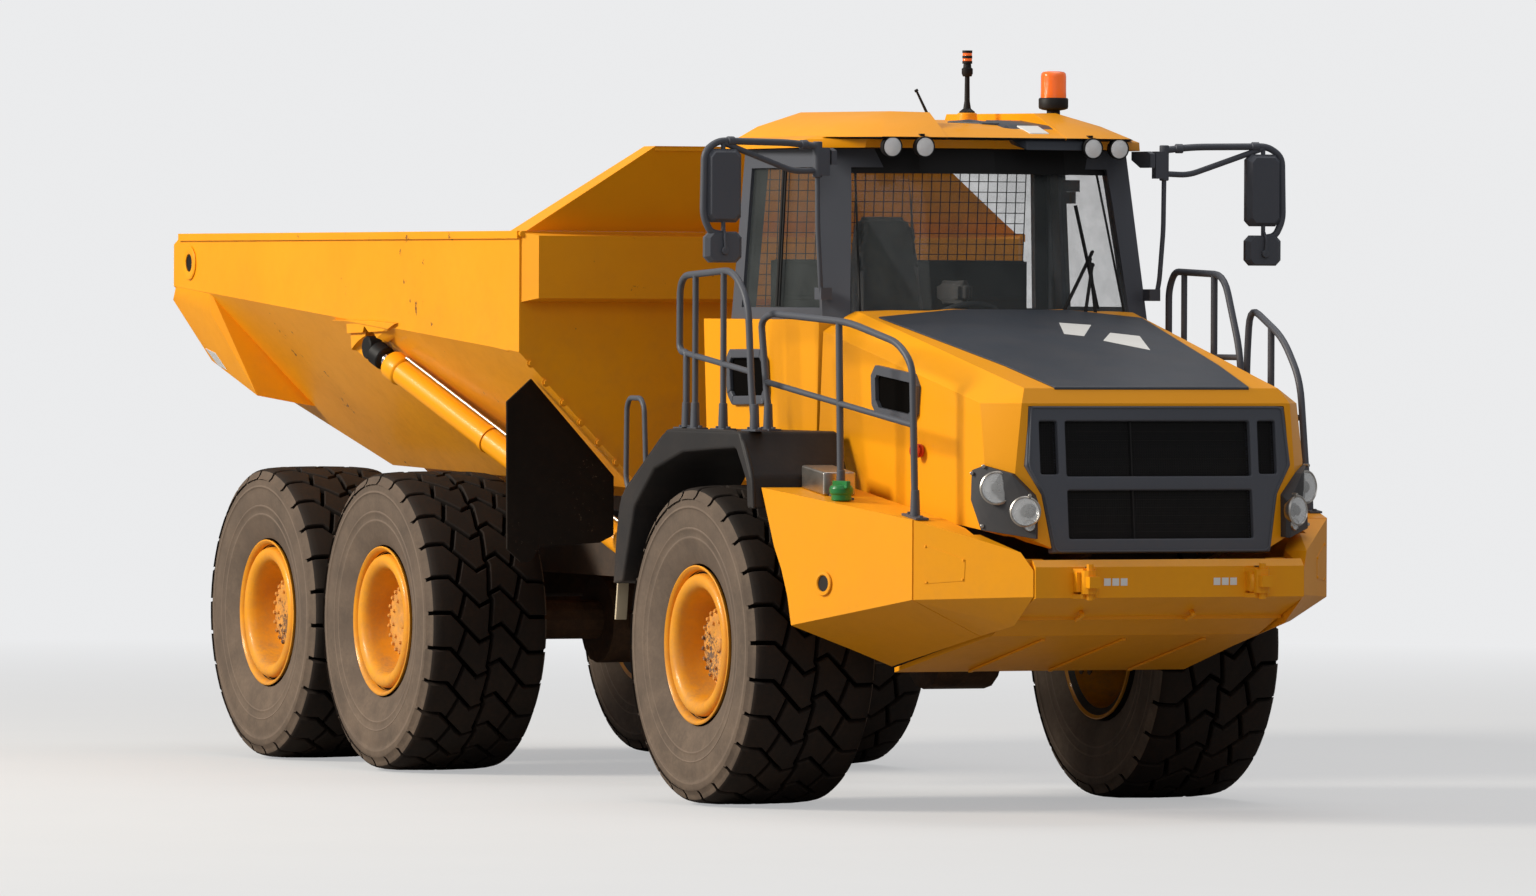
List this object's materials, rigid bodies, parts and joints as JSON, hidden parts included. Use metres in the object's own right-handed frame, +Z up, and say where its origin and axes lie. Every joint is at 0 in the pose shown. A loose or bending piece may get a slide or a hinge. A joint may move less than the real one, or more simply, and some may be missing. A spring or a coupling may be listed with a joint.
{
  "type": "articulated dump truck",
  "caption": "Articulated dump truck with a cab and hood front unit, a turning and rolling hitch, driven rear axles and a tipping body.",
  "frame": {"origin": "on the ground under the middle of the bounding box", "axes": "+X points forward along the truck, +Y to its left side, +Z up"},
  "size_m": [9.85, 3.274, 3.8123],
  "materials": {
    "yellow_paint": "satin yellow paint",
    "dark_chassis": "dark grey chassis paint",
    "charcoal_paint": "charcoal grey paint",
    "dark_plastic": "dark moulded plastic",
    "cab_glass": "lightly tinted glass",
    "amber_lens": "amber lens",
    "seat_cloth": "dark seat cloth",
    "black_rubber": "black rubber sheet",
    "tyre_rubber": "dusty tyre rubber",
    "rod_chrome": "hard chrome"
  },
  "bodies": {
    "front_unit": {"front_frame": "dark_chassis", "front_axle": "dark_chassis", "engine_block": "dark_chassis", "cab_base": "yellow_paint", "cab_frame": "charcoal_paint", "windscreen": "cab_glass", "rear_window": "cab_glass", "side_window": "cab_glass", "cab_roof": "yellow_paint", "beacon": "amber_lens", "stalk_light": "dark_plastic", "operator_seat": "seat_cloth", "dash_console": "dark_plastic", "front_bumper": "yellow_paint", "access_ladder": "charcoal_paint", "bumper_side_left": "yellow_paint", "fender_left": "dark_plastic", "fender_rail_left": "charcoal_paint", "front_rail_left": "charcoal_paint", "mirror_left": "dark_plastic", "bumper_side_right": "yellow_paint", "fender_right": "dark_plastic", "fender_rail_right": "charcoal_paint", "front_rail_right": "charcoal_paint", "mirror_right": "dark_plastic"},
    "cab_door": {"cab_door": "charcoal_paint", "door_window": "cab_glass"},
    "hood": {"hood": "yellow_paint", "grille": "charcoal_paint", "headlamp_left": "dark_plastic", "headlamp_right": "dark_plastic"},
    "hitch": {"hitch": "dark_chassis"},
    "rear_unit": {"rear_frame": "yellow_paint", "middle_axle": "dark_chassis", "rear_axle": "dark_chassis", "walking_beam_left": "dark_chassis", "walking_beam_right": "dark_chassis"},
    "tipping_body": {"tipping_body": "yellow_paint", "body_guard": "yellow_paint", "mud_flap_left": "black_rubber", "mud_flap_right": "black_rubber"},
    "tip_barrel_left": {"tip_barrel_left": "yellow_paint"},
    "tip_rod_left": {"tip_rod_left": "rod_chrome"},
    "tip_barrel_right": {"tip_barrel_right": "yellow_paint"},
    "tip_rod_right": {"tip_rod_right": "rod_chrome"},
    "front_wheel_left": {"front_tyre_left": "tyre_rubber", "front_rim_left": "yellow_paint"},
    "front_wheel_right": {"front_tyre_right": "tyre_rubber", "front_rim_right": "yellow_paint"},
    "middle_wheel_left": {"middle_tyre_left": "tyre_rubber", "middle_rim_left": "yellow_paint"},
    "middle_wheel_right": {"middle_tyre_right": "tyre_rubber", "middle_rim_right": "yellow_paint"},
    "rear_wheel_left": {"rear_tyre_left": "tyre_rubber", "rear_rim_left": "yellow_paint"},
    "rear_wheel_right": {"rear_tyre_right": "tyre_rubber", "rear_rim_right": "yellow_paint"}
  },
  "joints": [
    {"name": "articulation", "type": "hinge", "parent": "front_unit", "child": "hitch", "pos_m": [0.975, 0, 1.09], "axis": [0, 0, 1], "range_deg": [-45, 45]},
    {"name": "oscillation", "type": "hinge", "parent": "hitch", "child": "rear_unit", "pos_m": [0.375, 0, 1.09], "axis": [1, 0, 0], "range_deg": [-15, 15]},
    {"name": "body_tip", "type": "hinge", "parent": "rear_unit", "child": "tipping_body", "pos_m": [-3.725, 0, 1.28], "axis": [0, -1, 0], "range_deg": [0, 70]},
    {"name": "hood_tilt", "type": "hinge", "parent": "front_unit", "child": "hood", "pos_m": [4.61, 0, 1.335], "axis": [0, 1, 0], "range_deg": [0, 60]},
    {"name": "cab_door_hinge", "type": "hinge", "parent": "front_unit", "child": "cab_door", "pos_m": [1.705, 0.956, 2.5], "axis": [0, 0, 1], "range_deg": [0, 70]},
    {"name": "tip_swing_left", "type": "hinge", "parent": "rear_unit", "child": "tip_barrel_left", "pos_m": [0.335, 0.64, 1.04], "axis": [0, 0, 1], "range_deg": [0, 8.65]},
    {"name": "tip_extend_left", "type": "slide", "parent": "tip_barrel_left", "child": "tip_rod_left", "axis": [-0.8462, 0.2905, 0.4467], "range_m": [0, 2.232]},
    {"name": "tip_swing_right", "type": "hinge", "parent": "rear_unit", "child": "tip_barrel_right", "pos_m": [0.335, -0.64, 1.04], "axis": [0, 0, -1], "range_deg": [0, 8.65]},
    {"name": "tip_extend_right", "type": "slide", "parent": "tip_barrel_right", "child": "tip_rod_right", "axis": [-0.8462, -0.2905, 0.4467], "range_m": [0, 2.232]},
    {"name": "front_wheel_left_spin", "type": "hinge", "parent": "front_unit", "child": "front_wheel_left", "pos_m": [2.325, 1.125, 0.80391], "axis": [0, 1, 0], "continuous": true},
    {"name": "front_wheel_right_spin", "type": "hinge", "parent": "front_unit", "child": "front_wheel_right", "pos_m": [2.325, -1.125, 0.80391], "axis": [0, 1, 0], "continuous": true},
    {"name": "middle_wheel_left_spin", "type": "hinge", "parent": "rear_unit", "child": "middle_wheel_left", "pos_m": [-1.856, 1.125, 0.80391], "axis": [0, 1, 0], "continuous": true},
    {"name": "middle_wheel_right_spin", "type": "hinge", "parent": "rear_unit", "child": "middle_wheel_right", "pos_m": [-1.856, -1.125, 0.80391], "axis": [0, 1, 0], "continuous": true},
    {"name": "rear_wheel_left_spin", "type": "hinge", "parent": "rear_unit", "child": "rear_wheel_left", "pos_m": [-3.526, 1.125, 0.80391], "axis": [0, 1, 0], "continuous": true},
    {"name": "rear_wheel_right_spin", "type": "hinge", "parent": "rear_unit", "child": "rear_wheel_right", "pos_m": [-3.526, -1.125, 0.80391], "axis": [0, 1, 0], "continuous": true}
  ],
  "couplings": [
    {"joint": "tip_swing_left", "follows": "body_tip", "ratio": 0.12345},
    {"joint": "tip_extend_left", "follows": "body_tip", "m_per_rad": 1.8262},
    {"joint": "tip_swing_right", "follows": "body_tip", "ratio": 0.12345},
    {"joint": "tip_extend_right", "follows": "body_tip", "m_per_rad": 1.8262}
  ]
}
